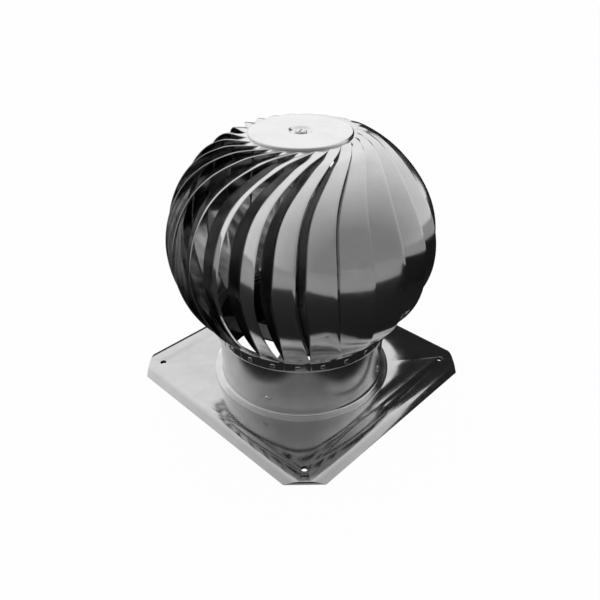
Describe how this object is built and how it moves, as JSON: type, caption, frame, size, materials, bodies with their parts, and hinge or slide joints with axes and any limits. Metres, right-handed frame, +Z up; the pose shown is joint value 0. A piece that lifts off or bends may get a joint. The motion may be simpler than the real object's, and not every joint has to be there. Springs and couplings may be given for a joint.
{
  "type": "roof turbine ventilator",
  "caption": "Wind-driven ball-shaped ventilator with riveted sheet vanes that spins on a bearing spindle over a short round neck and a square base plate.",
  "frame": {"origin": "on the rotor's axis, at the level that the base plate's edges rest on", "axes": "+Z up along the spindle; X and Y along the base plate's sides"},
  "size_m": [0.23, 0.23, 0.2288],
  "materials": {
    "polished_stainless": "mirror-polished stainless steel sheet",
    "zinc_plated_steel": "zinc-plated steel, satin",
    "bearing_steel": "ground and polished bearing steel",
    "black_nylon": "moulded nylon, matte"
  },
  "bodies": {
    "base": {"base_plate": "polished_stainless", "neck": "polished_stainless", "bearing_cross": "zinc_plated_steel", "cross_rivets": "polished_stainless", "bearing_housing": "zinc_plated_steel", "housing_screws": "zinc_plated_steel", "housing_nuts": "zinc_plated_steel", "lower_bearing_outer_race": "bearing_steel", "upper_bearing_outer_race": "bearing_steel", "lower_circlip": "bearing_steel", "upper_circlip": "bearing_steel", "shaft_seal": "black_nylon"},
    "rotor": {"lower_bearing_inner_race": "bearing_steel", "upper_bearing_inner_race": "bearing_steel", "bearing_spacer": "zinc_plated_steel", "spindle": "zinc_plated_steel", "spindle_washer": "zinc_plated_steel", "spindle_nut": "zinc_plated_steel", "hub": "zinc_plated_steel", "hub_pin": "zinc_plated_steel", "hub_rivets": "zinc_plated_steel", "top_plate": "zinc_plated_steel", "lower_ring": "polished_stainless", "foot_rivets": "polished_stainless", "tip_rivets": "polished_stainless", "cap": "polished_stainless", "cap_screw": "polished_stainless", "vane_01": "polished_stainless", "vane_02": "polished_stainless", "vane_03": "polished_stainless", "vane_04": "polished_stainless", "vane_05": "polished_stainless", "vane_06": "polished_stainless", "vane_07": "polished_stainless", "vane_08": "polished_stainless", "vane_09": "polished_stainless", "vane_10": "polished_stainless", "vane_11": "polished_stainless", "vane_12": "polished_stainless", "vane_13": "polished_stainless", "vane_14": "polished_stainless", "vane_15": "polished_stainless", "vane_16": "polished_stainless", "vane_17": "polished_stainless", "vane_18": "polished_stainless", "vane_19": "polished_stainless", "vane_20": "polished_stainless", "vane_21": "polished_stainless", "vane_22": "polished_stainless", "vane_23": "polished_stainless", "vane_24": "polished_stainless"},
    "lower_bearing_cage_body": {"lower_bearing_cage": "black_nylon", "lower_bearing_balls": "bearing_steel"},
    "upper_bearing_cage_body": {"upper_bearing_cage": "black_nylon", "upper_bearing_balls": "bearing_steel"}
  },
  "joints": [
    {"name": "rotor_spin", "type": "hinge", "parent": "base", "child": "rotor", "pos_m": [0, 0, 0.13], "axis": [0, 0, 1], "continuous": true},
    {"name": "lower_cage_spin", "type": "hinge", "parent": "base", "child": "lower_bearing_cage_body", "pos_m": [0, 0, 0.036], "axis": [0, 0, 1], "continuous": true},
    {"name": "upper_cage_spin", "type": "hinge", "parent": "base", "child": "upper_bearing_cage_body", "pos_m": [0, 0, 0.09], "axis": [0, 0, 1], "continuous": true}
  ],
  "couplings": [
    {"joint": "lower_cage_spin", "follows": "rotor_spin", "ratio": 0.36778},
    {"joint": "upper_cage_spin", "follows": "rotor_spin", "ratio": 0.36778}
  ]
}
